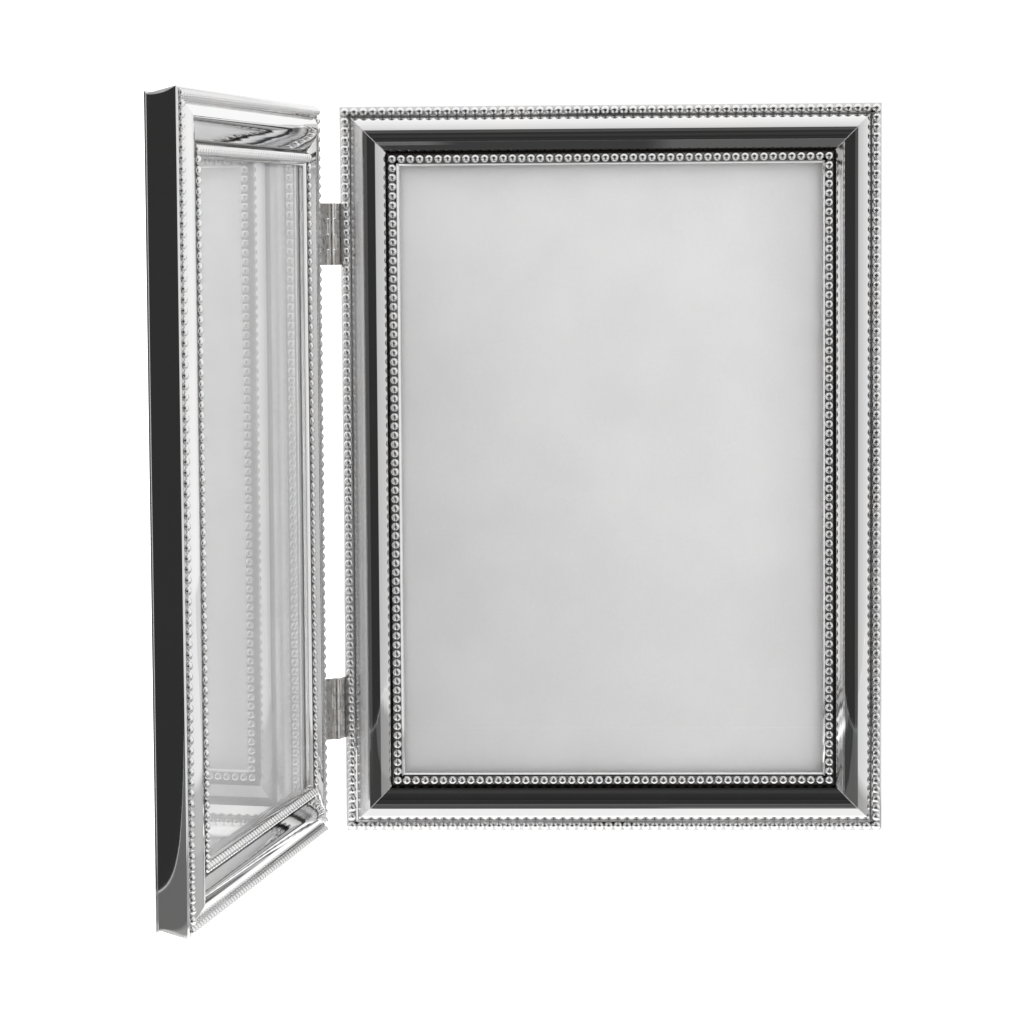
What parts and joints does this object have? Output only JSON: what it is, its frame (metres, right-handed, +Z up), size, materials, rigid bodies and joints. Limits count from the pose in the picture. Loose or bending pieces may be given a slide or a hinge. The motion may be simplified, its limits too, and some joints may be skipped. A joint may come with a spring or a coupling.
{
  "type": "hinged double photo frame",
  "caption": "Free-standing book-style photo frame: beaded mirror-polished metal leaves, each with glass and a velvet-covered back, joined by small butt hinges.",
  "frame": {"origin": "on the table, under the middle of the frame's bounding box as it stands open", "axes": "+Z up; the right leaf faces -Y and its width runs along X; the left leaf stands on the -X side and its free edge points to -Y"},
  "size_m": [0.176, 0.1588, 0.1952],
  "materials": {
    "silver_plated_moulding": "silver plate on rolled steel, polished to a mirror",
    "silver_plated_beading": "silver plate on pressed beading, polished",
    "picture_glass": "clear float glass",
    "insert_paper": "plain light grey coated paper",
    "grey_card": "uncoated grey card",
    "hardboard": "brown hardboard",
    "black_velvet": "black velvet pile",
    "hinge_plate": "nickel plate, lightly brushed",
    "steel_pin": "drawn steel",
    "blackened_steel": "black lacquered steel",
    "steel_rivet": "bright steel"
  },
  "bodies": {
    "right_leaf": {"lower_hinge_pin": "steel_pin", "lower_hinge_right_plate": "hinge_plate", "right_back_board": "hardboard", "right_bottom_rail": "silver_plated_moulding", "right_free_side_rail": "silver_plated_moulding", "right_glass_pane": "picture_glass", "right_hinge_rivets": "hinge_plate", "right_hinge_side_rail": "silver_plated_moulding", "right_inner_beading": "silver_plated_beading", "right_outer_beading": "silver_plated_beading", "right_photo_sheet": "insert_paper", "right_spacer_card": "grey_card", "right_top_rail": "silver_plated_moulding", "right_turn_button_rivets": "steel_rivet", "right_turn_button_washers": "steel_rivet", "right_velvet_cover": "black_velvet", "upper_hinge_pin": "steel_pin", "upper_hinge_right_plate": "hinge_plate"},
    "left_leaf": {"left_back_board": "hardboard", "left_bottom_rail": "silver_plated_moulding", "left_free_side_rail": "silver_plated_moulding", "left_glass_pane": "picture_glass", "left_hinge_rivets": "hinge_plate", "left_hinge_side_rail": "silver_plated_moulding", "left_inner_beading": "silver_plated_beading", "left_outer_beading": "silver_plated_beading", "left_photo_sheet": "insert_paper", "left_spacer_card": "grey_card", "left_top_rail": "silver_plated_moulding", "left_turn_button_rivets": "steel_rivet", "left_turn_button_washers": "steel_rivet", "left_velvet_cover": "black_velvet", "lower_hinge_left_plate": "hinge_plate", "upper_hinge_left_plate": "hinge_plate"},
    "left_bottom_button": {"left_bottom_turn_button": "blackened_steel"},
    "left_top_button": {"left_top_turn_button": "blackened_steel"},
    "right_bottom_button": {"right_bottom_turn_button": "blackened_steel"},
    "right_top_button": {"right_top_turn_button": "blackened_steel"}
  },
  "joints": [
    {"name": "leaf_hinge", "type": "hinge", "parent": "right_leaf", "child": "left_leaf", "pos_m": [-0.0585, 0.0655, 0.0976], "axis": [0, 0, 1], "range_deg": [-82.8, 97.2]},
    {"name": "left_bottom_button_pivot", "type": "hinge", "parent": "left_leaf", "child": "left_bottom_button", "pos_m": [-0.07931, -0.00671, 0.00435], "axis": [-0.9921, 0.1253, 0], "range_deg": [-90, 90]},
    {"name": "left_top_button_pivot", "type": "hinge", "parent": "left_leaf", "child": "left_top_button", "pos_m": [-0.07931, -0.00671, 0.19085], "axis": [-0.9921, 0.1253, 0], "range_deg": [-90, 90]},
    {"name": "right_bottom_button_pivot", "type": "hinge", "parent": "right_leaf", "child": "right_bottom_button", "pos_m": [0.01575, 0.0771, 0.00435], "axis": [0, 1, 0], "range_deg": [-90, 90]},
    {"name": "right_top_button_pivot", "type": "hinge", "parent": "right_leaf", "child": "right_top_button", "pos_m": [0.01575, 0.0771, 0.19085], "axis": [0, 1, 0], "range_deg": [-90, 90]}
  ]
}
